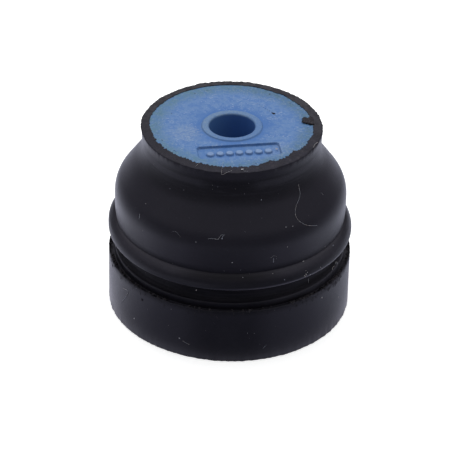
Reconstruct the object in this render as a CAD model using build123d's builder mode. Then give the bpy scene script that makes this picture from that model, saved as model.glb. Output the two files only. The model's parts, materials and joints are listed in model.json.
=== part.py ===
from build123d import *
import os
from math import radians, tan

# A bonded rubber mount that snaps into a round hole in a frame plate and carries one screw.
# Origin: centre of the collar's flat underside. +Z: up the axis of the bore, towards the disc face.
# All lengths are in millimetres. Radii are taken from the axis, heights (z) from the underside.

# Whole moulding
face_height = 29.2

# Collar: the straight ring that stays on the near side of the plate
collar_radius = 18.0
collar_height = 9.0
collar_bevel = 0.12

# Groove that holds the plate's edge, with a small ridge at its foot and a slot between ridge and collar
groove_radius = 16.2
groove_width = 3.4
ridge_width = 0.92
ridge_rise = 0.6
slot_depth = 0.55

# Bead: the snap-in lip over the groove, with a short upright land at the mould's parting line
bead_radius = 18.05
bead_height = 2.2
bead_land = 0.4
bead_crown = 1.2
bead_round = 1.6

# Bell: the flexing shell between the bead and the neck, tucked in a little at the fold
bell_radius = 17.1
fold_depth = 0.17
fold_rise = 1.15
shoulder_rise = 5.25
shoulder_round = 4.5

# Neck and rim, the rubber round the disc
neck_radius = 13.05
neck_drop = 3.75
neck_round = 6.0
rim_radius = 13.2

# Plastic insert: a disc with a hub, bored for the screw, and a boss ring round the bore
disc_radius = 12.2
disc_thickness = 4.2
hub_radius = 6.2
hub_length = 13.7
bore_radius = 3.35
boss_width = 1.05
boss_rise = 0.2

# Hollow underneath, with a bevelled roof under the pad of rubber that carries the disc
pad_thickness = 6.2
hollow_radius = 13.4
roof_bevel = 3.4
mouth_bevel = 0.5

# Label pocket in front of the bore
label_width = 11.9
label_height = 3.3
label_depth = 0.35
label_corner = 0.5
label_radius = 6.95
label_turn = 9.0


def fitted_rounds(corners, rounds):
    """The wanted round at each corner, no larger than the two sides beside it leave room for."""
    fitted = []
    for i, wanted in enumerate(rounds):
        here = Vector(*corners[i])
        following = (i + 1) % len(corners)
        to_last = Vector(*corners[i - 1]) - here
        to_next = Vector(*corners[following]) - here
        # a side with a round at both ends is shared between them
        room_last = to_last.length * (0.49 if rounds[i - 1] else 0.98)
        room_next = to_next.length * (0.49 if rounds[following] else 0.98)
        turn = 180 - to_last.get_angle(to_next)
        room = min(room_last, room_next) / tan(radians(turn) / 2)
        fitted.append(min(wanted, room))
    return fitted


# Levels and radii that follow from the sizes above
ridge_radius = groove_radius + ridge_width
ridge_level = collar_height + ridge_rise
lip_radius = collar_radius - collar_bevel
slot_level = collar_height - slot_depth
bead_level = collar_height + groove_width
fold_level = bead_level + bead_height
fold_radius = bell_radius - fold_depth
shoulder_level = fold_level + shoulder_rise
neck_level = face_height - neck_drop
flange_level = face_height - disc_thickness
roof_level = flange_level - pad_thickness
hub_level = face_height - hub_length
boss_radius = bore_radius + boss_width
boss_level = face_height + boss_rise

# The bond between rubber and plastic, from the disc's face down to the root of the hub
bond_line = [
    (disc_radius, face_height),
    (disc_radius, flange_level),
    (hub_radius, flange_level),
]

# Rubber outline as (radius, height) and the round at that corner, from the collar's foot upwards
rubber_outline = [
    ((collar_radius, 0), 0),
    ((collar_radius, collar_height - collar_bevel), 0),
    ((lip_radius, collar_height), 0),
    ((lip_radius, slot_level), 0),
    ((ridge_radius, slot_level), 0),
    ((ridge_radius, ridge_level), 0),
    ((groove_radius, ridge_level), 0),
    ((groove_radius, bead_level), 0),
    ((bead_radius, bead_level), 0),
    ((bead_radius, bead_level + bead_land + bead_crown), bead_round),
    ((fold_radius, fold_level), 0),
    ((bell_radius, fold_level + fold_rise), 0),
    ((bell_radius, shoulder_level), shoulder_round),
    ((neck_radius, neck_level), neck_round),
    ((rim_radius, face_height), 0),
    *[(corner, 0) for corner in bond_line],
    ((hub_radius, roof_level), 0),
    ((hollow_radius - roof_bevel, roof_level), 0),
    ((hollow_radius, roof_level - roof_bevel), 0),
    ((hollow_radius, mouth_bevel), 0),
    ((hollow_radius + mouth_bevel, 0), 0),
]
rubber_corners = [corner for corner, _ in rubber_outline]
rubber_rounds = [size for _, size in rubber_outline]

with BuildPart() as rubber_body:
    with BuildSketch(Plane.XZ):
        with BuildLine():
            FilletPolyline(*rubber_corners, radius=fitted_rounds(rubber_corners, rubber_rounds), close=True)
        make_face()
    revolve(axis=Axis.Z)

with BuildPart() as plastic_insert:
    with BuildSketch(Plane.XZ):
        with BuildLine():
            Polyline(
                (bore_radius, hub_level),
                (hub_radius, hub_level),
                *reversed(bond_line),
                (boss_radius, face_height),
                (boss_radius, boss_level),
                (bore_radius, boss_level),
                close=True,
            )
        make_face()
    revolve(axis=Axis.Z)
    with BuildSketch(Plane.XY.offset(face_height).rotated((0, 0, label_turn))):
        with Locations((0, -label_radius)):
            RectangleRounded(label_width, label_height, label_corner)
    extrude(amount=-label_depth, mode=Mode.SUBTRACT)

os.makedirs("parts", exist_ok=True)

rubber_body.part.label = "rubber_body"
export_step(rubber_body.part, "parts/rubber_body.step")

plastic_insert.part.label = "plastic_insert"
export_step(plastic_insert.part, "parts/plastic_insert.step")
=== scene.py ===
# %% [markdown]
# # A bonded rubber mount with a blue plastic insert
#
# The object is a squat rubber bell, moulded round a blue plastic insert that carries one screw.
# A straight collar, a groove for the edge of a plate and a snap-in bead run round its foot.
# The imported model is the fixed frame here. It holds the true sizes, so this script reads its sizes
# from there, and adds what a plain solid lacks: soft edges, moulding flash, dust and finish.

# %% Load the frame
import bpy
import json
from math import atan, cos, degrees, exp, hypot, pi, radians, sin, tan, tau
from random import Random
from mathutils import Matrix, Vector, noise


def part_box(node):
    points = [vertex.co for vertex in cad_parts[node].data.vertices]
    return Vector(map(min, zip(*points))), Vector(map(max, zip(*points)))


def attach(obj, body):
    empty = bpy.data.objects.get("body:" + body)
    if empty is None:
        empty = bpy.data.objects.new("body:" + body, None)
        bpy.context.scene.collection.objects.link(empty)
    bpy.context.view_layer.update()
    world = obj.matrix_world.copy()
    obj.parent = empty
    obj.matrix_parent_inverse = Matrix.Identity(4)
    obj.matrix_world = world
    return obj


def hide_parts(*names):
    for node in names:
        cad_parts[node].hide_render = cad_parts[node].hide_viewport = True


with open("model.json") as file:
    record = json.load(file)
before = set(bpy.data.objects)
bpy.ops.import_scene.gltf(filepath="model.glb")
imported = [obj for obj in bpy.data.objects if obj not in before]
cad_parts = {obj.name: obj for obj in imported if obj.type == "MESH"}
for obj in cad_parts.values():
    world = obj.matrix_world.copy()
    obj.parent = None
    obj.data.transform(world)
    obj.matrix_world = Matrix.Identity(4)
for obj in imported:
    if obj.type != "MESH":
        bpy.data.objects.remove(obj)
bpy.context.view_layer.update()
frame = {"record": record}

MM = 0.001
scene = bpy.context.scene


def linked(name, data):
    """A new object with that data, linked to the scene."""
    made = bpy.data.objects.new(name, data)
    scene.collection.objects.link(made)
    return made


def meshed(name, points, faces):
    """A new object with a mesh of those points and faces."""
    mesh = bpy.data.meshes.new(name)
    mesh.from_pydata(points, [], faces)
    return linked(name, mesh)

# %% [markdown]
# ## Sizes
#
# Heights run up from the underside of the collar and radii out from the axis of the bore, in millimetres.
# What the frame knows is read from it: the two nodes' boxes and the mounts in the record.
# Only what neither of them tells, such as the places of the rounds, is written here.

# %% Sizes from the frame
mounts = {mount["name"]: mount for mount in frame["record"]["mounts"]}
rubber_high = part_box("rubber_body")[1]
insert_low, insert_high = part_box("plastic_insert")
bead_radius = rubber_high.x / MM
face_height = rubber_high.z / MM
disc_radius = insert_high.x / MM
boss_level = insert_high.z / MM
hub_level = insert_low.z / MM
bore_radius = mounts["bore"]["dims"]["r_mm"]
groove_radius = mounts["plate_groove"]["dims"]["r_mm"]
groove_half = mounts["plate_groove"]["dims"]["length_mm"] / 2
groove_middle = mounts["plate_groove"]["pos_m"][2] / MM
collar_height = groove_middle - groove_half
bead_level = groove_middle + groove_half
print(f"face at {face_height:.2f} mm, bead radius {bead_radius:.2f} mm, disc radius {disc_radius:.2f} mm")

# %% Sizes of the rubber that the frame does not name
collar_radius = bead_radius - 0.05
fold_level = bead_level + 2.2
bell_radius = bead_radius - 0.95
fold_radius = bell_radius - 0.2
shoulder_level = fold_level + 5.25
neck_radius = 13.05
neck_level = face_height - 3.75
rim_radius = 13.2
hub_radius = 6.2
flange_level = face_height - 4.2
roof_level = flange_level - 6.2
hollow_radius = 13.4
roof_bevel = 3.4
print(f"groove {bead_level - collar_height:.2f} mm wide, {bead_radius - groove_radius:.2f} mm deep")

# %% [markdown]
# ## Camera
#
# The picture was taken from some way off with a long lens, so the two ends of each ellipse are almost alike.
# A camera can be placed by eye, but here it was solved from the ellipses of the rim, bore and collar.
# It stands on the front, -Y side, looks down at a point on the axis and is rolled by a little over a degree.
# Two small turns then bring that point to its own place in the picture, which is not the middle.

# %% Place the camera
picture_side = 452
focal_length_pixels = 2786.4
camera_distance = 413.1
camera_elevation = radians(31.91)
camera_roll = radians(1.267)
aim_height = 15.0
aim_pixel_x = 229.9
aim_pixel_y = 209.0

aim = Vector((0, 0, aim_height * MM))
away = Vector((0, -cos(camera_elevation), sin(camera_elevation)))
camera = linked("camera", bpy.data.cameras.new("camera"))
scene.camera = camera
swing = Matrix.Rotation(atan((aim_pixel_x - picture_side / 2) / focal_length_pixels), 3, "Y")
nod = Matrix.Rotation(atan((aim_pixel_y - picture_side / 2) / focal_length_pixels), 3, "X")
lean = Matrix.Rotation(camera_roll, 3, "Z")
straight = (-away).to_track_quat("-Z", "Y").to_matrix()
camera.rotation_euler = (straight @ swing @ nod @ lean).to_euler()
camera.location = aim + away * camera_distance * MM
camera.data.sensor_width = 36
camera.data.lens = camera.data.sensor_width * focal_length_pixels / picture_side
camera.data.clip_start = 0.01
camera.data.clip_end = 10
print(f"lens {camera.data.lens:.1f} mm at {camera.location.length / MM:.0f} mm from the foot's centre")

# %% [markdown]
# ## Shader sums written as Python
#
# A material is a tree of nodes, and long sums make long trees. One small class wraps an output socket, so
# that `1 - mask * 0.5` adds its two Math nodes by itself. Vectors get Vector Math nodes in the same way.
# Colours never go through a Math node, which would turn them grey: they are blended by `mix` only.

# %% One wrapped socket
class Wire:
    """An output socket that can stand in a sum: each operator adds the node that it means."""

    def __init__(self, graph, socket):
        self.graph = graph
        self.socket = socket

    def combine(self, operation, left, right):
        kinds = [side.socket.type for side in (left, right) if isinstance(side, Wire)]
        assert "RGBA" not in kinds, "colours are blended by mix"
        node = "ShaderNodeVectorMath" if "VECTOR" in kinds else "ShaderNodeMath"
        return self.graph.add(node, {"operation": operation}, {0: left, 1: right})

    def __add__(self, other):
        return self.combine("ADD", self, other)

    def __radd__(self, other):
        return self.combine("ADD", other, self)

    def __sub__(self, other):
        return self.combine("SUBTRACT", self, other)

    def __rsub__(self, other):
        return self.combine("SUBTRACT", other, self)

    def __mul__(self, other):
        return self.combine("MULTIPLY", self, other)

    def __rmul__(self, other):
        return self.combine("MULTIPLY", other, self)

# %% One way to add any other node
class Tree:
    """The node tree of one material or world, emptied, with one way to add any node to it."""

    def __init__(self, tree):
        self.tree = tree
        tree.nodes.clear()

    def add(self, kind, settings=None, sockets=None, output=0):
        """Adds a node: its settings first, then a value or a wire for each named or numbered socket."""
        node = self.tree.nodes.new(kind)
        for name, value in (settings or {}).items():
            setattr(node, name, value)
        for name, value in (sockets or {}).items():
            self.feed(node.inputs[name], value)
        return Wire(self, node.outputs[output]) if node.outputs else node

    def feed(self, socket, value):
        if isinstance(value, Wire):
            self.tree.links.new(value.socket, socket)
        elif socket.type == "VECTOR" and isinstance(value, (int, float)):
            socket.default_value = (value, value, value)
        elif socket.type == "RGBA":
            socket.default_value = (*value, 1)
        else:
            socket.default_value = value

    def outputs(self, wire):
        """All outputs of the node behind a wire."""
        return [Wire(self, socket) for socket in wire.socket.node.outputs]

    def tell(self, step):
        """Prints how far the tree has grown."""
        print(f"{step}: {len(self.tree.nodes)} nodes")

# %% Short ways to the nodes that come up often
class Graph(Tree):
    """A tree with a short name for each sum, mask and texture that comes up often."""

    def split(self, vector):
        """The x, y and z of a vector."""
        return self.outputs(self.add("ShaderNodeSeparateXYZ", {}, {0: vector}))

    def length(self, vector):
        return self.add("ShaderNodeVectorMath", {"operation": "LENGTH"}, {0: vector}, output="Value")

    def rays(self):
        """Two masks: for what camera and transmission rays meet, and for what glossy rays meet."""
        kinds = {wire.socket.name: wire for wire in self.outputs(self.add("ShaderNodeLightPath"))}
        return self.larger(kinds["Is Camera Ray"], kinds["Is Transmission Ray"]), kinds["Is Glossy Ray"]

    def mix(self, factor, first, second):
        """Blends two colours."""
        return self.add("ShaderNodeMix", {"data_type": "RGBA"}, {0: factor, 6: first, 7: second}, output=2)

    def between(self, value, low, high):
        """0 below low, 1 above high and a soft step from one to the other; low may be the larger one."""
        sockets = {"Value": value, "From Min": low, "From Max": high}
        return self.add("ShaderNodeMapRange", {"interpolation_type": "SMOOTHSTEP"}, sockets)

    def band(self, value, rising, falling):
        """1 between two soft steps: up over the rising pair of values, down over the falling pair."""
        return self.between(value, *rising) * self.between(value, *reversed(falling))

    def larger(self, first, second):
        return self.add("ShaderNodeMath", {"operation": "MAXIMUM"}, {0: first, 1: second})

    def noise(self, place, scale, detail=2, roughness=0.5, stretch=None):
        """Soft noise from 0 to 1 with that many cells in a millimetre."""
        where = place * stretch if stretch else place
        sockets = {"Vector": where, "Scale": scale, "Detail": detail, "Roughness": roughness}
        return self.add("ShaderNodeTexNoise", {}, sockets)

    def principled(self, colour, roughness, specular, more=None):
        """A Principled surface; more holds any further sockets by name."""
        sockets = {"Base Color": colour, "Roughness": roughness, "Specular IOR Level": specular}
        return self.add("ShaderNodeBsdfPrincipled", {}, {**sockets, **(more or {})})

# %% [markdown]
# ## Light
#
# The object stands on a white table in a white light tent. Walls and roof are bright all round, and only the
# front, where the camera looks in, stays dim. That is why the rubber goes black towards the camera
# and grey at its sides. Many lamps could imitate it, but a world whose brightness follows the
# direction does it with one formula, and a single soft lamp overhead adds the roof's brightest patch.
# The camera itself sees plain white behind the object, through Light Path.

# %% The light tent
wall_levels = (0.12, 0.23, 0.15)
roof_levels = (0.48, 1.12, 1.5)
cloth_tone = (0.93, 0.95, 1.0)
mirrored_tone = (0.96, 0.93, 1.08)
world = bpy.data.worlds.new("light_tent")
world.use_nodes = True
scene.world = world
tent = Graph(world.node_tree)
seen, mirrored = tent.rays()
depth, rise = tent.split(tent.add("ShaderNodeTexCoord", output="Generated"))[1:]
beside = tent.between(depth, -0.9, 0.1)
behind = tent.between(depth, 0.1, 0.75)


def round_the_tent(front, side, back):
    """A level that changes from the tent's open front over its sides to its back."""
    return front + beside * (side - front) + behind * (back - side)


upper = tent.between(rise, 0.25, 0.75)
level = round_the_tent(*wall_levels) * (1 - upper) + round_the_tent(*roof_levels) * upper
strength = level * (1 - seen) + seen
tone = tent.mix(mirrored, cloth_tone, mirrored_tone)
cloth = tent.add("ShaderNodeBackground", {}, {"Color": tone, "Strength": strength})
plain = tent.add("ShaderNodeBackground", {}, {"Color": (1, 1, 1), "Strength": 1.0})
shown = tent.add("ShaderNodeMixShader", {}, {0: seen, 1: cloth, 2: plain})
tent.add("ShaderNodeOutputWorld", {}, {"Surface": shown})
tent.tell("light tent")

# %% The lamp behind
def area_lamp(name, place, size, radiance):
    """A soft square lamp aimed at the object; radiance is its brightness where 1 is white."""
    data = bpy.data.lights.new(name, "AREA")
    data.size = size * MM
    data.energy = radiance * pi * data.size ** 2
    data.color = (0.94, 0.96, 1.0)
    lamp = linked(name, data)
    lamp.location = Vector(place) * MM
    lamp.rotation_euler = (aim - lamp.location).to_track_quat("-Z", "Y").to_euler()
    return lamp


back_lamp = area_lamp("back_lamp", place=(-60, 260, 460), size=360, radiance=1.6)
print(f"back lamp {back_lamp.data.energy:.2f} W")

# %% [markdown]
# ## Floor
#
# The table is a pale matt sheet. For the light it lifts the shadows and takes the object's own shadow, and in
# front of the object it carries painted shade, deepest in its mirror image. For camera, glossy and
# transmission rays a little light of its own brings it up to white, as in the picture, where only the line of
# contact stays dark; for glossy rays that light is a painted reflection. From below the sheet is clear.
# Every finish starts from the place in millimetres, which comes from the Object output of Texture
# Coordinate, so a grain keeps its real size on every piece.

# %% Start and close a material
def started(name):
    """A new empty material, its graph, and the place on the piece in millimetres."""
    material = bpy.data.materials.new(name)
    material.use_nodes = True
    graph = Graph(material.node_tree)
    return material, graph, graph.add("ShaderNodeTexCoord", output="Object") * 1000.0


def closed(material, graph, surface):
    """The same material, with that surface led to its output."""
    graph.add("ShaderNodeOutputMaterial", {}, {"Surface": surface})
    graph.tell(material.name)
    return material


def finished(name, build):
    """A new material whose surface is made by build(graph, place)."""
    material, graph, place = started(name)
    return closed(material, graph, build(graph, place))

# %% The table
table_half = 1.5
table_gap = 0.03 * MM
foot_reach = (18.6, 21)
shade_reach = (38, 56)
near_reach = (44, 80)
far_reach = (50, 120)


def table_finish(graph, place):
    """A pale sheet with painted shade in front of the object and in its mirror image, as far as the object
    reaches.
    """
    direct, glossy = graph.rays()
    direction = graph.add("ShaderNodeVectorMath", {"operation": "NORMALIZE"}, {0: place})
    across, depth = graph.split(direction)[:2]
    reach = graph.length(place)
    foot = 1 - graph.between(reach, *foot_reach)
    shade = graph.between(0 - depth, 0.0, 0.9) * (1 - graph.between(reach, *shade_reach) * 0.4)
    shade = shade * (0.55 + glossy * 0.45) * (1 - direct)
    near = 1 - graph.between(reach, *near_reach) * 0.6
    lift = direct * 0.62 + glossy * ((0.3 - across * 0.16) * (1 - shade) * near + foot * 0.4)
    sheet = graph.mix(direct, (0.8, 0.82, 0.95), (0.85, 0.84, 0.8))
    sheet = graph.mix(graph.between(reach, *far_reach) * glossy, sheet, (0.4, 0.4, 0.46))
    sheet = graph.mix(shade * (1 - foot), sheet, (0.1, 0.1, 0.15))
    glow = graph.mix(glossy, (1, 1, 1), (0.98, 0.95, 1.1))
    matt = graph.principled(sheet, 0.9, 0.1, {"Emission Color": glow, "Emission Strength": lift})
    clear = graph.add("ShaderNodeBsdfTransparent")
    below = graph.add("ShaderNodeNewGeometry", output="Backfacing")
    return graph.add("ShaderNodeMixShader", {}, {0: below, 1: matt, 2: clear})


sheet_corners = [(x * table_half, y * table_half, 0) for x, y in ((-1, -1), (1, -1), (1, 1), (-1, 1))]
table = meshed("table", sheet_corners, [(0, 1, 2, 3)])
table.location.z = -table_gap
table.data.materials.append(finished("white_table", table_finish))

# %% [markdown]
# ## Turned shapes
#
# Rubber and insert are both bodies of revolution. A Screw modifier on a drawn profile would turn them too,
# but then every lap is the same. Here the profile is swept in Python, and a function may shift each point
# on its way, which gives torn flash, nicked edges and the sunk label place for free.
# The profile itself is a short list of corners: a round at a corner becomes an arc.

# %% Trace a profile with rounded corners
def arc_points(before, corner, after, wanted, step):
    """The arc that rounds a corner, from the side of the point before to the side of the point after."""
    back = (before - corner).normalized()
    ahead = (after - corner).normalized()
    half_angle = back.angle(ahead) / 2
    # a round takes less than half of a side, so two rounds on one side never meet
    room = 0.49 * min((before - corner).length, (after - corner).length) * tan(half_angle)
    radius = min(wanted, room)
    centre = corner + (back + ahead).normalized() * radius / sin(half_angle)
    start = corner + back * radius / tan(half_angle) - centre
    end = corner + ahead * radius / tan(half_angle) - centre
    sweep = start.angle_signed(end)
    count = max(3, round(abs(sweep) * radius / step))
    turns = [Matrix.Rotation(-sweep * i / count, 2) for i in range(count + 1)]
    return [centre + turn @ start for turn in turns]


def traced(corners):
    """A closed profile from (radius, height, round, step): step is the point spacing from that corner on."""
    points = []
    for i, (radius, height, wanted, step) in enumerate(corners):
        here = Vector((radius, height))
        before = Vector(corners[i - 1][:2])
        after = Vector(corners[(i + 1) % len(corners)][:2])
        bend = arc_points(before, here, after, wanted, min(step, corners[i - 1][3])) if wanted else [here]
        if points:
            points += spaced(points[-1], bend[0], corners[i - 1][3])
        points += bend
    points += spaced(points[-1], points[0], corners[-1][3])
    return points


def spaced(start, end, step):
    """Points between two others, without the two themselves."""
    count = max(1, round((end - start).length / step))
    return [start.lerp(end, i / count) for i in range(1, count)]

# %% Turn a profile into a mesh
TURNS = 512


def turned(name, profile, shift):
    """Sweeps a closed profile round Z; shift(radius, height, angle) may move each point on its way."""
    points = []
    for turn in range(TURNS):
        angle = tau * turn / TURNS
        for start in profile:
            radius, height = shift(start.x, start.y, angle)
            points.append((radius * sin(angle) * MM, -radius * cos(angle) * MM, height * MM))
    rows = len(profile)
    faces = []
    for turn in range(TURNS):
        here, there = turn * rows, (turn + 1) % TURNS * rows
        for row in range(rows):
            following = (row + 1) % rows
            faces.append((here + row, there + row, there + following, here + following))
    print(f"{name}: {rows} profile points, {2 * len(faces)} triangles")
    piece = meshed(name, points, faces)
    piece.data.shade_smooth()
    return piece

# %% Soft steps, humps and grain
def smooth_step(low, high, value):
    """0 up to low, 1 from high on, and a soft step between."""
    share = min(1.0, max(0.0, (value - low) / (high - low)))
    return share * share * (3 - 2 * share)


def hump(value, middle, width):
    """1 at the middle, falling away smoothly over about that width on both sides."""
    return exp(-((value - middle) / width) ** 2)


def grain(radius, height, angle, size):
    """Smooth noise from about -1 to 1 on the surface, with lumps of that size in millimetres."""
    return noise.noise(Vector((radius * sin(angle), -radius * cos(angle), height)) / size)


print(f"a hump is {hump(0.5, 0, 1):.2f} high at half its width and {hump(1, 0, 1):.2f} at its width")

# %% [markdown]
# ## The rubber moulding
#
# The moulding is one piece: collar, groove, bead, bell and neck. It wraps the insert and, on the face, a thin
# torn skin of flash laps over the blue disc, wider at the front than at the back.
# The profile follows the solid, but its edges are rounder and the groove's foot is a small hollow round.
# Rubber leaves its mould with soft edges, and those rounds catch the thin lines of light in the picture.
# Below, the hollow is real.

# %% Profile of the rubber
flash_radius = disc_radius - 0.45
flash_thickness = 0.1
lip_height = collar_height - 0.1
slot_outer = collar_radius - 0.12
slot_inner = groove_radius + 0.92
slot_floor = collar_height - 0.55
ridge_top = collar_height + 0.62
land_top = bead_level + 0.28

# the bead's crown is one arc, from upright at the land to its steepest lean at the fold
crown_turn = 2 * atan((bead_radius - fold_radius) / (fold_level - land_top))
crown_round = (fold_level - land_top) / sin(crown_turn)
crown_reach = crown_round / cos(crown_turn / 6)
crown = []
for share in (1 / 6, 3 / 6, 5 / 6):
    crown.append((bead_radius - crown_round + crown_reach * cos(crown_turn * share),
                  land_top + crown_reach * sin(crown_turn * share), crown_round, 0.18))

rubber_corners = [
    (collar_radius, 0.0, 0.12, 0.9),
    (collar_radius, lip_height - 0.25, 0.2, 0.1),
    (slot_outer, lip_height, 0.08, 0.1),
    (slot_outer, slot_floor, 0.08, 0.1),
    (slot_inner, slot_floor, 0.08, 0.1),
    (slot_inner, ridge_top, 0.2, 0.12),
    (groove_radius + 0.46, ridge_top + 0.06, 0.6, 0.14),
    (groove_radius + 0.08, ridge_top + 0.5, 0.6, 0.45),
    (groove_radius, bead_level, 0.2, 0.35),
    (bead_radius, bead_level, 0.22, 0.1),
    *crown,
    (fold_radius, fold_level, 0.06, 0.1),
    (bell_radius, fold_level + 1.5, 9.0, 0.5),
    (bell_radius, shoulder_level, 4.5, 0.5),
    (neck_radius, neck_level, 6.0, 0.5),
    (rim_radius, face_height, 0.16, 0.11),
    (flash_radius, face_height + flash_thickness, 0.04, 0.1),
    (flash_radius, face_height + 0.01, 0, 0.3),
    (disc_radius, face_height - 0.02, 0, 2.2),
    (disc_radius, flange_level, 0, 3.0),
    (hub_radius, flange_level, 0, 3.2),
    (hub_radius, roof_level, 0, 1.3),
    (hollow_radius - roof_bevel, roof_level, 1.2, 1.2),
    (hollow_radius, roof_level - roof_bevel, 1.2, 1.5),
    (hollow_radius, 0.0, 0.4, 0.8),
]
rubber_profile = traced(rubber_corners)

# %% The torn edge of the flash
# how far each tongue of flash reaches in, in millimetres, and its middle and width in degrees
flash_tongues = [(0.42, 29, 4), (0.3, 51, 5), (0.22, 135, 28), (-0.13, 262, 25)]


def flash_edge(angle):
    """Radius of the torn inner edge of the rubber on the face: nearest the bore at the front."""
    lean = 0.36 * cos(angle - radians(6))
    tongue = sum(reach * hump(degrees(angle), middle, width) for reach, middle, width in flash_tongues)
    ragged = 0.65 + 0.35 * cos(angle)
    wave = 0.14 * noise.noise(Vector((3.1 * sin(angle), 3.1 * cos(angle), 4.0)))
    teeth = 0.34 * ragged * noise.noise(Vector((17 * sin(angle), 17 * cos(angle), 9.0)))
    nibble = 0.42 * ragged * noise.noise(Vector((46 * sin(angle), 46 * cos(angle), 2.0)))
    return min(disc_radius - 0.03, flash_radius + 0.12 - lean - tongue + wave + teeth + nibble)


edge_radii = [flash_edge(radians(turn)) for turn in range(360)]
print(f"the flash ends between {min(edge_radii):.2f} and {max(edge_radii):.2f} mm from the axis")

# %% Chips and burrs on the rim
def rim_chip(angle):
    """How far the rim's upper edge is torn back, or stands out as a burr, at that angle."""
    fine = 0.11 * grain(rim_radius, 0, angle, 0.4)
    coarse = 0.12 * grain(rim_radius, 7, angle, 1.3)
    return max(-0.3, min(0.12, fine + coarse + 0.02))


def back_burr(angle):
    """The rim's back edge stands a little higher and wider, mostly on the left, and is lumpy."""
    turn = min(angle, tau - angle)
    share = smooth_step(1.1, 1.8, turn)
    if angle < pi:
        share *= 0.3 + 0.2 * smooth_step(2.0, 2.3, turn) + 0.5 * smooth_step(2.85, 3.05, turn)
    else:
        share += 1.2 * hump(turn, 1.72, 0.035) - 0.5 * hump(turn, 2.45, 0.25)
    return share * max(0.0, 0.16 + 0.09 * grain(rim_radius, 11, angle, 0.5))


burrs = [rim_chip(radians(turn)) + back_burr(radians(turn)) for turn in range(360)]
print(f"the rim wanders by {min(burrs):.2f} to {max(burrs):.2f} mm")

# %% Shift each point of the rubber
rim_depth = 0.45
foot_depth = 0.7


def face_shift(radius, height, angle):
    """Slides the face's flash in or out to its torn edge, and roughens its skin."""
    outer = rim_radius - 0.16
    share = (outer - radius) / (outer - flash_radius)
    if share > 0:
        radius = outer - share * (outer - flash_edge(angle))
    lumps = 0.035 * grain(radius, height, angle, 0.9) + 0.03 * grain(radius, height, angle, 0.3)
    if height > face_height + 0.015:
        height = max(face_height + 0.03, height + lumps)
    if share < 0.3:
        radius += rim_chip(angle) + back_burr(angle)
        height = min(boss_level, height + 0.7 * back_burr(angle))
    return radius, height


def rubber_shift(radius, height, angle):
    """The moulding's own small errors, largest where two halves of the mould met."""
    if height > face_height - 0.01 and radius < rim_radius + 0.01:
        return face_shift(radius, height, angle)
    if radius < groove_radius - 0.1 and height < face_height - 0.3:
        return radius, height
    swell = 0.015 * grain(radius, height, angle, 5.0)
    edge = 0.0
    if height > face_height - rim_depth:
        edge = (rim_chip(angle) + back_burr(angle)) * (height - face_height + rim_depth) / rim_depth
    if height < foot_depth and radius > hollow_radius + 1:
        worn_back = 0.02 + 0.09 * hump(degrees(angle), 325, 25)
        edge = 0.12 * grain(radius, height, angle, 0.5) * (foot_depth - height) / foot_depth - worn_back
    if slot_floor + 0.2 < height < collar_height and radius > slot_outer - 0.05:
        edge = 0.10 * grain(radius, 3, angle, 0.6)
        height += 0.10 * grain(radius, 5, angle, 0.7)
    on_crown = max(0.0, 1 - abs(height - fold_level + 0.9) / 0.9)
    swell += 0.2 * on_crown * hump(degrees(angle), 262, 22)
    limit = bead_radius if height > collar_height else collar_radius + 0.04
    return min(radius + swell + edge, limit), height

# %% Sweep the rubber
rubber = turned("rubber_moulding", rubber_profile, rubber_shift)
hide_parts("rubber_body")
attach(rubber, "root")

# %% [markdown]
# ## The blue insert
#
# The insert is a disc with a hub behind it, bored through for the screw. Its face is not quite flat:
# a low boss rings the bore and a shallow place for a label is sunk in front of it.
# Cutting such soft detail with booleans leaves hard edges, so the swept mesh has rings a few hundredths of a
# millimetre apart there, and a height function lowers and lifts them. The label place carries only
# a row of plain round pips.

# %% Heights on the insert's face
label_width = 11.9
label_height = 3.3
label_depth = 0.35
label_corner = 0.5
label_radius = 6.95
label_turn = radians(9)
wall_width = 0.12
pip_count = 7
pip_pitch = 1.4
pip_radius = 0.56
pip_rise = 0.32
pip_drop = -0.3


def label_place(x, y):
    """x and y in the label's own frame, with its middle at zero."""
    return x * cos(label_turn) + y * sin(label_turn), y * cos(label_turn) - x * sin(label_turn) + label_radius


def outside_label(along, over):
    """Distance from the label's rounded outline, negative inside it."""
    beyond_x = abs(along) - label_width / 2 + label_corner
    beyond_y = abs(over) - label_height / 2 + label_corner
    return hypot(max(beyond_x, 0), max(beyond_y, 0)) + min(max(beyond_x, beyond_y), 0) - label_corner


def relief(x, y):
    """Height of the face at x, y above its plain level."""
    along, over = label_place(x, y)
    sunk = label_depth * smooth_step(wall_width / 2, -wall_width / 2, outside_label(along, over))
    nearest = round(along / pip_pitch)
    lifted = 0.0
    if abs(nearest) <= pip_count // 2:
        from_pip = hypot(along - nearest * pip_pitch, over - pip_drop)
        lifted = pip_rise * smooth_step(pip_radius + wall_width, pip_radius - wall_width, from_pip)
    return lifted - sunk


print(f"label place {label_width} x {label_height} mm, {label_depth} mm deep, with {pip_count} pips")

# %% Sweep the insert
boss_radius = bore_radius + 1.05
insert_corners = [
    (bore_radius, hub_level, 0.2, 1.2),
    (bore_radius, boss_level, 0.32, 0.1),
    (boss_radius - 0.06, boss_level, 0.14, 0.1),
    (boss_radius + 0.12, face_height, 0.2, 0.058),
    (disc_radius, face_height, 0, 2.0),
    (disc_radius, flange_level, 0, 3.0),
    (hub_radius, flange_level, 0, 3.0),
    (hub_radius, hub_level, 0.2, 0.8),
]


def insert_shift(radius, height, angle):
    """The label place with its pips, and a slight unevenness, on the face only."""
    if boss_radius + 0.2 < radius < disc_radius - 0.01 and height > face_height - 0.01:
        x, y = radius * sin(angle), -radius * cos(angle)
        height += relief(x, y) + 0.012 * grain(radius, height, angle, 1.1)
    return radius, height


insert = turned("insert_disc", traced(insert_corners), insert_shift)
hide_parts("plastic_insert")
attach(insert, "root")

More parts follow.
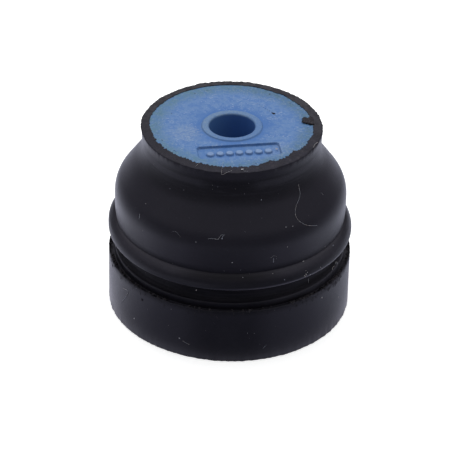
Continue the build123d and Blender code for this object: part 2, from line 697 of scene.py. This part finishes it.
# %% [markdown]
# ## Torn rubber
#
# The mould leaves thin skin where its parts meet. At the right of the face one shred of it is folded over
# the disc, and along the top of the collar short hairs of rubber stand out, closest together at the right.
# Flat planes would show no thickness from the side, so the shred gets a top and an underside.

# %% Find the surface again
def outer_radius(height):
    """Radius of the outer wall at that height: the widest of all places where the profile crosses it."""
    crossings = []
    for start, end in zip(rubber_profile, rubber_profile[1:]):
        if min(start.y, end.y) <= height <= max(start.y, end.y) and start.y != end.y:
            crossings.append(start.lerp(end, (height - start.y) / (end.y - start.y)).x)
    return max(crossings)


def swung(azimuth, height, radius):
    """A point by degrees to the right of the front, height and radius in millimetres."""
    angle = radians(azimuth)
    return Vector((radius * sin(angle), -radius * cos(angle), height)) * MM


def laid(azimuth, height, lift):
    """A point on the outer wall, or that much above its skin."""
    return swung(azimuth, height, outer_radius(height) + lift)


def placed(x, y, height):
    """A point by three lengths in millimetres."""
    return Vector((x, y, height)) * MM


for name, level in (("groove", groove_middle), ("fold", fold_level), ("neck", neck_level)):
    print(f"outer wall at the {name}: radius {outer_radius(level):.2f} mm")

# %% The folded shred
shred_root = [
    (12.07, 0.75), (12.08, 0.95), (12.09, 1.15), (12.09, 1.35), (12.08, 1.55),
    (12.06, 1.75), (12.04, 1.95), (12.02, 2.15), (12.0, 2.35), (11.96, 2.55),
]
shred_tip = [
    (11.75, 0.85), (11.36, 0.78), (11.0, 1.06), (10.5, 1.16), (10.12, 1.38),
    (10.34, 1.75), (10.18, 2.3), (10.5, 2.78), (10.95, 2.62), (11.4, 2.9),
]
shred_steps = 7
shred_thickness = 0.14


def shred_sheet(level):
    """Points of one side of the shred, from its root on the ring to its curled tip."""
    points = []
    for step in range(shred_steps + 1):
        share = step / shred_steps
        for root, tip in zip(shred_root, shred_tip):
            x, y = Vector(root).lerp(Vector(tip), share)
            crumple = 0.22 * noise.noise(Vector((x * 2.6, y * 2.6, 5.0)))
            curl = 0.24 * share ** 2 * (1.2 - share) - 0.15 * (1 - share) ** 4
            points.append(placed(x, y, face_height + 0.04 + level + curl + crumple * share))
    return points

print(f"the shred has {len(shred_root)} points across and {shred_steps + 1} rows from root to tip")

# %% Join the shred's two sides
def shred_faces():
    """Faces of the shred's top and underside, and of the border between them."""
    across = len(shred_root)
    count = across * (shred_steps + 1)
    faces = []
    for step in range(shred_steps):
        for i in range(across - 1):
            top = step * across + i
            under = count + top
            faces.append((top, top + across, top + across + 1, top + 1))
            faces.append((under, under + 1, under + across + 1, under + across))
    border = list(range(across))
    border += [step * across + across - 1 for step in range(1, shred_steps + 1)]
    border += [shred_steps * across + i for i in range(across - 2, -1, -1)]
    border += [step * across for step in range(shred_steps - 1, 0, -1)]
    for here, there in zip(border, border[1:] + border[:1]):
        faces.append((here, there, count + there, count + here))
    return faces


shred = meshed("torn_shred", shred_sheet(shred_thickness) + shred_sheet(0), shred_faces())
shred.data.shade_smooth()
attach(shred, "root")
print(f"torn shred: {len(shred.data.vertices)} points")

# %% Threads
def thread_object(name, threads, thickness):
    """One curve object with a round thread through each list of points, each point with its own width.

    The bevel is one metre deep and the points' radii shrink it, since a curve's box grows by those radii.
    """
    data = bpy.data.curves.new(name, "CURVE")
    data.dimensions = "3D"
    data.bevel_depth = 1
    data.bevel_resolution = 1
    data.resolution_u = 4
    for points, widths in threads:
        spline = data.splines.new("NURBS")
        spline.points.add(len(points) - 1)
        for knot, point, width in zip(spline.points, points, widths):
            knot.co = (*point, 1)
            knot.radius = width * thickness * MM
        spline.use_endpoint_u = True
        spline.order_u = 3
    thread = linked(name, data)
    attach(thread, "root")
    print(f"{name}: {len(threads)} threads")
    return thread

# %% Hairs of flash on the collar
chance = Random(11)
hair_length = 1.35
hair_thickness = 0.088

# count, middle and spread in degrees where the hairs stand close, and count, start and end for the rest
close_hairs = [(26, 38, 5), (40, 60, 6)]
other_hairs = [(36, -85, 34), (50, 80, 275)]


def flash_hair(azimuth):
    """A short tapering hair that starts in the slot and hangs out over the collar's edge."""
    length = hair_length * chance.uniform(0.15, 1.0) ** 1.6
    sway = chance.uniform(-3.0, 3.0)
    start = swung(azimuth - sway * 0.2, lip_height - 0.15, slot_outer - 0.35)
    bend = swung(azimuth, lip_height + 0.16, slot_outer + 0.02)
    tip = swung(azimuth + sway * length, lip_height - 0.15 - 0.9 * length, collar_radius + 0.02)
    return [start, bend, tip], (1.8, 1.4, 0.3)


azimuths = [chance.gauss(middle, spread) for count, middle, spread in close_hairs for _ in range(count)]
azimuths += [chance.uniform(start, end) for count, start, end in other_hairs for _ in range(count)]
hairs = thread_object("flash_hairs", [flash_hair(azimuth) for azimuth in azimuths], hair_thickness)

# %% [markdown]
# ## Dust and lint
#
# Rubber gathers dust. On the black skin even the finest fibre shows, so the longest ones of the picture are
# laid where they lie there, as round threads thinner than a pixel. Crumbs are small flattened lumps, since
# a texture of dots would vanish at the edges and lie flat in the mesh.

# %% Lint
lint_thickness = 0.019
wall_lift = 0.03
face_lift = 0.2

# each path is in degrees from the front and millimetres up, and the number after it is the thread's width
fibre_paths = [
    ([(45.9, 25.31), (45.6, 24.23), (43.6, 23.65), (40.4, 23.2), (37.7, 22.56), (36.6, 21.81), (37.9, 21.11),
      (40.4, 20.49), (43.5, 20.05), (47.9, 19.62)], 0.9),
    ([(-10.5, 20.22), (-8.0, 20.32), (-5.5, 20.21), (-4.9, 20.6), (-4.1, 20.89), (-2.4, 20.84)], 0.8),
    ([(-4.0, 20.3), (-3.6, 20.47), (-3.2, 20.8)], 1.2),
    ([(-29.6, 19.95), (-28.6, 20.25), (-27.3, 20.25), (-25.9, 20.05), (-24.6, 19.7)], 0.35),
    ([(-59.6, 6.59), (-54.2, 7.1), (-55.4, 6.29), (-57.2, 5.4), (-59.8, 4.24)], 1.4),
    ([(-21.3, 2.73), (-19.5, 2.45), (-17.8, 2.31)], 0.8),
    ([(16.6, 1.96), (17.5, 2.26), (18.5, 2.56)], 0.7),
    ([(60.4, 22.77), (61.2, 22.38)], 0.8),
    ([(-51.3, 20.35), (-51.0, 20.0), (-50.7, 19.65)], 1.2),
    ([(68.6, 9.66), (69.6, 9.72), (70.6, 9.7), (70.4, 9.64), (68.9, 9.63)], 3.0),
    ([(63.4, 9.64), (65.2, 9.72), (66.8, 9.66)], 2.0),
    ([(45.4, 10.5), (45.3, 10.2), (44.9, 9.9)], 1.2),
    ([(21.7, 16.8), (21.8, 16.45), (21.75, 16.05)], 1.4),
    ([(20.3, 16.85), (21.2, 17.15), (22.3, 17.2), (23.2, 16.95)], 0.5),
    ([(151.0, 21.5), (146.0, 20.9), (143.0, 19.6), (147.0, 18.8)], 1.1),
    ([(-118.0, 5.2), (-112.0, 5.9), (-109.0, 4.7)], 1.1),
]

# these lie on the face: x, y and the height above it in millimetres
face_fibres = [
    ([(-1.17, -10.51, 0.0), (-1.31, -12.2, 0.0), (-1.36, -13.22, -0.05), (-1.35, -13.36, -0.45),
      (-0.95, -13.31, -0.28), (-0.5, -13.19, -0.02), (0.17, -12.72, 0.0)], 0.65),
    ([(1.72, -12.6, -0.02), (2.02, -12.98, -0.05), (2.36, -12.86, 0.0)], 0.65),
    ([(-5.08, -11.83, 0.0), (-4.45, -10.76, 0.0)], 0.6),
    ([(11.77, -5.84, 0.0), (11.93, -4.7, 0.0), (12.44, -4.38, 0.0)], 1.3),
]
lint = [([laid(azimuth, height, wall_lift) for azimuth, height in path], [width] * len(path))
        for path, width in fibre_paths]
lint += [([placed(x, y, face_height + face_lift + lift) for x, y, lift in path], [width] * len(path))
         for path, width in face_fibres]
fibres = thread_object("lint_fibres", lint, lint_thickness)

# %% Lumps for crumbs
def crumb_mesh(name, crumbs):
    """Flattened lumps in one mesh; each is its middle, the direction that it faces and its size."""
    points, faces = [], []
    around = 7
    for middle, facing, size in crumbs:
        turn = facing.to_track_quat("Z", "Y")
        first = len(points)
        points.append(middle + facing * size * 0.45 * MM)
        for i in range(around):
            angle = tau * i / around
            reach = size * chance.uniform(0.6, 1.25)
            points.append(middle + turn @ Vector((reach * cos(angle), reach * sin(angle), 0.1 * size)) * MM)
        points.append(middle - facing * size * 0.2 * MM)
        for i in range(around):
            here, there = first + 1 + i, first + 1 + (i + 1) % around
            faces.append((first, here, there))
            faces.append((first + around + 1, there, here))
    crumb_object = meshed(name, points, faces)
    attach(crumb_object, "root")
    print(f"{name}: {len(crumbs)} crumbs")
    return crumb_object


def wall_crumb(azimuth, height, size):
    """A crumb on the outer wall."""
    angle = radians(azimuth)
    return laid(azimuth, height, 0.02), Vector((sin(angle), -cos(angle), 0)), size


def face_crumb(x, y, size, lift=0.02):
    """A crumb on the face, or that much above it."""
    return placed(x, y, face_height + lift), Vector((0, 0, 1)), size

# %% Pale crumbs
bright_size = 0.13
faint_size = 0.08
spot_crumbs = 9
stray_crumbs = 110

# single specks by azimuth in degrees and height in millimetres
bright_specks = [
    (-49.8, 2.95), (39.2, 14.58), (-16.5, 10.8), (60.8, 14.37), (-22.8, 3.02), (49.4, 7.41), (64.8, 4.89),
]
faint_specks = [
    (-16.4, 19.49), (-50.8, 21.78), (21.3, 14.33), (38.0, 13.09), (26.5, 13.28), (6.6, 14.28), (1.5, 16.68),
    (55.0, 14.98), (29.0, 18.17), (29.5, 21.00), (33.3, 20.86), (-62.0, 9.66), (-3.6, 20.35), (-51.1, 19.95),
    (18.8, 24.74),
]

# two dusty spots on the bead: azimuth and its spread in degrees, height and its spread in millimetres
dusty_spots = [(38.5, 1.3, 13.0, 0.25), (54.0, 2.0, 12.6, 0.15)]

pale_crumbs = [wall_crumb(azimuth, height, bright_size) for azimuth, height in bright_specks]
pale_crumbs += [wall_crumb(azimuth, height, faint_size) for azimuth, height in faint_specks]
for _ in range(spot_crumbs):
    for azimuth, azimuth_spread, height, height_spread in dusty_spots:
        where = chance.gauss(azimuth, azimuth_spread), chance.gauss(height, height_spread)
        pale_crumbs.append(wall_crumb(*where, chance.uniform(0.04, 0.08)))
for _ in range(stray_crumbs):
    where = chance.uniform(-180, 180), chance.uniform(0.8, 27.5)
    pale_crumbs.append(wall_crumb(*where, chance.uniform(0.02, 0.042)))
pale_crumbs += [face_crumb(1.6, -12.28, 0.2, 0.14), face_crumb(6.48, -5.99, 0.2, -0.1)]
dust = crumb_mesh("dust_crumbs", pale_crumbs)

# %% Dark crumbs, a blot and its scratch
ring_crumbs = 26
ring_radius = 11.0
blot_x = 6.03
blot_y = 3.98
scratch = [face_crumb(blot_x - 0.30 * i, blot_y + 0.34 * i, 0.08 - 0.004 * i) for i in range(1, 9)]
dark_crumbs = [face_crumb(blot_x, blot_y, 0.27), face_crumb(5.5, 9.7, 0.1), face_crumb(-8.9, 3.3, 0.08)]
dark_crumbs += [*scratch, wall_crumb(-44.2, 7.09, 0.2)]
for _ in range(ring_crumbs):
    angle = chance.uniform(-pi, pi)
    spot = ring_radius * sin(angle), -ring_radius * cos(angle)
    dark_crumbs.append(face_crumb(*spot, chance.uniform(0.04, 0.09)))
rubber_crumbs = crumb_mesh("rubber_crumbs", dark_crumbs)

# %% [markdown]
# ## Finishes
#
# Moulded rubber is nearly black, with a faint violet cast, and its skin is finely grained. What the eye reads
# is the bloom and dust on it, so the colour changes a little over it and the roughness even more. Some coats
# are
# painted light and shade besides: darker in the groove, neck and slot, lighter at the sides and on lit edges.
# The collar came from a rougher part of the mould. All this could be painted on an unwrapped picture, but
# a list of coats needs none: each is a mask and a tone, and is laid over the ones before it. The masks are
# measured in millimetres from the nearest level or radius that has a name, so they stay with it.

# %% Coats and places
grain_height = 0.03 * MM


def painted(graph, colour, coats):
    """Lays each coat of (mask, tone) over the colour, in that order."""
    for mask, tone in coats:
        colour = graph.mix(mask, colour, tone)
    return colour


def from_line(graph, place, x, y):
    """Distance in millimetres from the upright line through x, y."""
    return graph.length((place - (x, y, 0)) * (1, 1, 0))


def facing_up(graph):
    """How far the surface faces up, from -1 to 1."""
    return graph.split(graph.add("ShaderNodeNewGeometry", output="True Normal"))[2]


def grained(graph, height):
    """The Normal socket of a finely grained skin."""
    sockets = {"Strength": 0.5, "Distance": grain_height, "Height": height}
    return {"Normal": graph.add("ShaderNodeBump", {}, sockets)}

# %% Measure from the moulding's named levels
rubber_material, graph, place = started("moulded_rubber")
between, band = graph.between, graph.band
x, y, height = graph.split(place)
upward = facing_up(graph)
radius = from_line(graph, place, 0, 0)
beyond_groove = radius - groove_radius
beyond_neck = radius - neck_radius
inside_wall = collar_radius - radius
above_collar = height - collar_height
above_bead = height - bead_level
above_fold = height - fold_level
below_face = face_height - height
graph.tell("rubber with measures")

# %% Noises of the rubber
film = between(graph.noise(place, 0.35, 3, 0.55), 0.35, 0.75)
mottle = graph.noise(place, 2.2, 4, 0.6)
skin = graph.noise(place, 9.0, 3, 0.6)
streaks = graph.noise(place, 1.0, 3, 0.6, stretch=(0.2, 0.2, 4.5))
lines = graph.noise(place, 1.0, 2, 0.5, stretch=(0.25, 0.25, 5.0))
specks = between(graph.noise(place, 4.6, 1, 0.4), 0.74, 0.8)
smudge = between(graph.noise(place, 1.7, 3, 0.6), 0.5, 0.66)
blotch = between(graph.noise(place, 0.9, 2, 0.5), 0.55, 0.4)
film = film * 0.4 + between(mottle, 0.4, 0.8) * 0.35
graph.tell("rubber with noises")

# %% Masks for the parts and sides of the moulding
collar = between(above_collar, 0.3, -0.3)
groove = between(above_bead, 0.1, -0.3) * between(beyond_groove, 0.7, 0.3)
bell = between(above_fold, -0.1, 0.5)
neck = between(below_face, 0.8, 1.8) * between(beyond_neck, 1.35, 0.35)
face = between(below_face, 0.12, -0.02)
outer_wall = between(inside_wall, 0.5, 0.1)
wall = collar * outer_wall

# sides as the camera sees them, where -y is nearest to it; several coats use them to paint light and shade
front = between(y, -2.0, -8.0)
side = between(y, -17.7, -15.3)
flank = side * between(y, -1.0, -9.0)
quarter = band(y, (-17.7, -15.3), (-13.0, -9.0))
front_quarter = band(y, (-17.9, -16.6), (-13.0, -9.0))
front_left = between(x + y, -8.0, -15.0)
off_middle = between(x * x, 4.0, 25.0)
graph.tell("rubber with parts and sides")

# %% Masks for wear, dust and painted light and shade
# on the collar and in the groove
# painted shade at the collar's top edge and in its slot
lip_shade = band(above_collar, (-1.3, -0.2), (0.2, 0.4)) * between(inside_wall, 0.6, 0.3)
hairy = band(above_collar, (-0.6, -0.4), (0.1, 0.5)) * between(x, 9.0, 13.0)
ridge = band(above_collar, (0.2, 0.4), (0.9, 1.4))
# painted highlight along the ridge's edge, on the right
ridge_highlight = band(above_collar, (-0.3, 0.1), (0.6, 0.8)) * between(x, 3.0, 9.0)
ridge_highlight = ridge_highlight * band(beyond_groove, (0.1, 0.4), (0.95, 1.1))
upper_wall = groove * between(above_collar, 0.8, 1.5) * between(x, 1.0, 6.0)
# painted shade in the groove and in the neck, deeper at the front
hollow_shade = graph.larger(groove * (1 - collar), neck * (0.25 + front * 0.6))

# on the bead
parting = band(above_bead, (-0.2, 0.2), (0.9, 1.5)) * outer_wall
lower = band(above_bead, (-0.3, -0.1), (0.05, 0.5)) * outer_wall
# painted light on the bead's lower half, at the left
bead_left_light = band(above_bead, (-0.1, 0.1), (0.6, 1.2)) * between(x, 0.0, -5.0)
crown = band(above_fold, (-1.52, -0.5), (-0.05, 0.1))
shaded = band(above_fold, (-1.0, -0.2), (0.0, 0.1))
# painted highlight: the floor's reflection on the bead's lower edge, strongest on the right, and on the
# collar's foot
edge = lower * (0.2 + between(x, -12.0, 10.0) * 0.75)
edge = graph.larger(between(height, 1.4, 0.2) * 0.1, edge)
edge_tone = graph.mix(between(x, 0.0, 10.0), (0.08, 0.075, 0.092), (0.14, 0.133, 0.158))

# on the bell, the neck and the face
settled = between(upward, 0.15, 0.6) * (0.3 + between(above_fold, 0.4, 2.4) * 0.7)
belly = band(above_fold, (0.3, 1.2), (3.4, 4.9))
dusty = band(above_fold, (-0.1, 0.1), (1.2, 3.0))
waist = band(below_face, (1.0, 1.8), (3.0, 4.6))
worn = band(below_face, (1.5, 2.0), (2.4, 3.0)) * off_middle
torn_tone = graph.mix(between(y, 8.0, -8.0), (0.038, 0.037, 0.04), (0.01, 0.0092, 0.017))
graph.tell("rubber with wear and dust")

# %% The rubber's coats
colour = graph.mix(film, (0.009, 0.0084, 0.012), (0.0155, 0.0144, 0.0194))
colour = painted(graph, colour, [
    (bell * 0.5, (0.023, 0.0212, 0.0285)),
    (settled * (1 - face) * 0.2, (0.026, 0.025, 0.031)),
    # painted shade in the groove and the neck
    (hollow_shade * 0.7, (0.0045, 0.0042, 0.0058)),
    (groove * between(streaks, 0.48, 0.66) * 0.5, (0.022, 0.02, 0.025)),
    (upper_wall * 0.5, (0.022, 0.02, 0.025)),
    # painted highlight along the ridge's edge
    (ridge_highlight * 0.35, (0.05, 0.047, 0.056)),
    (waist * between(streaks, 0.5, 0.68) * 0.3, (0.034, 0.032, 0.04)),
    (worn * front * (0.3 + mottle * 0.5), (0.034, 0.032, 0.04)),
    # the collar wall's own tone, with painted light that grows towards its sides and front quarters
    (wall * (0.28 + side * 0.18 + front_quarter * 0.42), (0.041, 0.039, 0.049)),
    # painted light on the bell's lower wall at the front quarters
    (belly * quarter * 0.6, (0.044, 0.041, 0.051)),
    # painted shade at the collar's top edge and in its slot
    (lip_shade * (0.4 + mottle * 1.2) * 0.6, (0.003, 0.0028, 0.0042)),
    # painted light on the bead's crown at the flanks
    (crown * flank * (0.4 + mottle * 0.3), (0.046, 0.043, 0.053)),
    (shaded * (1 - side), (0.002, 0.0018, 0.0028)),
    # painted highlight on the bead's lower edge and the collar's foot
    (edge, edge_tone),
    # painted light on the bead's lower half, at the left
    (bead_left_light * 0.5, (0.036, 0.034, 0.042)),
    (hairy * (0.1 + mottle * 0.6), (0.06, 0.057, 0.072)),
    (face * (0.5 + mottle * 0.6), torn_tone),
    (face * smudge * 0.35, (0.052, 0.045, 0.048)),
    (face * blotch * 0.6, (0.0065, 0.0058, 0.0085)),
    (face * front_left * 0.5, (0.006, 0.0054, 0.009)),
    (face * between(skin, 0.55, 0.7) * 0.5, (0.05, 0.048, 0.056)),
    (specks * 0.5, (0.05, 0.05, 0.058)),
])

# %% The rubber's roughness and grain
roughness = 0.27 + mottle * 0.12 + collar * 0.03 + face * 0.25 + hollow_shade * 0.2
roughness = roughness + lip_shade * 0.2 + parting * 0.07 + groove * 0.1 + dusty * 0.12 + shaded * 0.03
roughness = roughness + neck * front * between(x * x, 20.0, 2.0) * 0.25
roughness = roughness + ridge * 0.1 + groove * between(y, -6.5, -3.0) * 0.2
bumps = skin * 0.5 + mottle * 0.6 + lines * (0.25 + neck) + skin * collar * 0.6 + skin * face * 2.0
surface = graph.principled(colour, roughness, 0.2, grained(graph, bumps))
rubber.data.materials.append(closed(rubber_material, graph, surface))

# %% Torn rubber
def torn_finish(graph, place):
    """Torn rubber is matt and uneven: black in its pits and greyer where it stands out."""
    tear = graph.noise(place, 3.5, 3, 0.6)
    colour = graph.mix(graph.between(tear, 0.4, 0.65), (0.006, 0.0054, 0.0068), (0.046, 0.04, 0.044))
    return graph.principled(colour, 0.55 + tear * 0.3, 0.2)


torn_material = finished("torn_rubber", torn_finish)
for piece in (shred, hairs, rubber_crumbs):
    piece.data.materials.append(torn_material)

# %% [markdown]
# The plastic is a plain mid blue round the bore, where hands and tools have kept it clean. Further out a pale
# bloom lies on it in patches and grains, and next to the rubber it turns greenish grey. A list of coats does
# this too, and one slow noise shifts the edges of its rings, so that none of them is a clean circle.

# %% Noises of the plastic
insert_material, graph, place = started("blue_plastic")
between = graph.between
x, y, height = graph.split(place)
along, over = label_place(x, y)
radius = from_line(graph, place, 0, 0)
beyond_boss = radius - boss_radius
beyond_bore = radius - bore_radius
below_face = face_height - height
patch = graph.noise(place, 1.1, 4, 0.65)
grains = graph.noise(place, 3.4, 2, 0.6)
clumps = graph.noise(place, 0.45, 2, 0.5)
wander = (graph.noise(place, 0.34, 4, 0.6) - 0.5) * 4.6
fine = between(grains, 0.42, 0.6)
graph.tell("plastic with noises")

# %% Bloom, grains and wear on the disc
bloom = between(radius + wander, 4.5, 7.0) * (0.25 + between(patch, 0.38, 0.62) * 0.6)
clusters = 0.25 + between(clumps, 0.48, 0.62) * 0.75
pale = between(grains, 0.54, 0.68) * between(radius, 4.5, 5.4) * clusters
right_patch = between(from_line(graph, place, 7.0, -6.3) + wander * 0.4, 2.7, 0.8)
left_patch = between(from_line(graph, place, -6.7, -2.2) + wander * 0.4, 3.4, 0.8)
worn = between(patch, 0.56, 0.7) * between(radius, 5.0, 6.5)
edge = between(radius + wander * 0.5, 8.8, 11.5) * (0.6 + between(patch, 0.35, 0.65) * 0.7)
edge_tone = graph.mix(between(x, -7.0, 8.0), (0.08, 0.18, 0.238), (0.058, 0.136, 0.185))
speckle = between(grains, 0.5, 0.64) * between(radius, 8.8, 10.5)
graph.tell("plastic with bloom")

# %% Boss, label place, bore and the painted shade in their corners
boss = between(beyond_boss, 0.3, -0.15) * between(below_face, 0.3, 0.1)
boss_tone = graph.mix(between(grains, 0.45, 0.62), (0.118, 0.212, 0.37), (0.175, 0.265, 0.375))
half_width = label_width / 2
half_height = label_height / 2
within = between(along * along, (half_width - 0.05) ** 2, (half_width - 0.25) ** 2)
within = within * between(over * over, (half_height - 0.2) ** 2, (half_height - 0.35) ** 2)
proud = between(below_face, 0.25, 0.1)
bore = between(beyond_bore, 0.08, -0.03)
bore_shade_tone = graph.mix(between(x, 1.0, -3.0), (0.044, 0.122, 0.345), (0.078, 0.18, 0.385))
blended = between(radius, 5.3, 5.0) * between(x - y * 0.3, -1.2, 2.2)
# painted shade on steep walls, none in the bore and little at the boss's right
steep_shade = between(facing_up(graph), 0.85, 0.35) * (1 - bore) * (1 - blended * 0.9)
graph.tell("plastic with boss, label place and bore")

# %% The plastic's coats
colour = graph.mix(bloom, (0.054, 0.158, 0.4), (0.142, 0.254, 0.455))
colour = painted(graph, colour, [
    (pale * 0.75, (0.27, 0.355, 0.51)),
    (right_patch * (0.35 + fine * 0.65) * 0.45, (0.27, 0.345, 0.47)),
    (left_patch * (0.3 + fine * 0.7) * 0.45, (0.27, 0.345, 0.44)),
    (worn * 0.35, (0.046, 0.15, 0.33)),
    (edge * 0.65, edge_tone),
    (speckle * 0.22, (0.23, 0.32, 0.4)),
    (boss * (0.55 + between(x - y, 4.0, -3.0) * 0.4), boss_tone),
    (within * proud * 0.6, (0.25, 0.35, 0.52)),
    (within * (1 - proud) * 0.35, (0.05, 0.15, 0.37)),
    # painted shade inside the bore, less deep on its left wall
    (bore, bore_shade_tone),
    # painted shade on the steep walls of the boss and the label place
    (steep_shade * 0.4, (0.02, 0.075, 0.22)),
])
surface = graph.principled(colour, 0.5 + patch * 0.2, 0.3, grained(graph, grains * 0.6 + patch * 0.5))
insert.data.materials.append(closed(insert_material, graph, surface))

# %% [markdown]
# Lint is undyed cotton and paper dust, grey with a trace of brown here and blue there. Two soft noises give
# the tint and the shade, since threads of one even grey would look drawn.

# %% Dust
def dust_finish(graph, place):
    """Pale grey with a changing tint."""
    tint = graph.noise(place, 0.6, 2, 0.5)
    shade = graph.noise(place, 3.0, 2, 0.5)
    colour = graph.mix(graph.between(tint, 0.4, 0.6), (0.32, 0.34, 0.38), (0.41, 0.37, 0.34))
    colour = graph.mix(graph.between(shade, 0.45, 0.7) * 0.6, colour, (0.7, 0.7, 0.71))
    return graph.principled(colour, 0.75 + shade * 0.2, 0.2)


dust_material = finished("pale_dust", dust_finish)
for piece in (fibres, dust):
    piece.data.materials.append(dust_material)

# %% [markdown]
# ## View settings
#
# Standard keeps a colour as it is written.

# %% Finish
scene.view_settings.view_transform = "Standard"
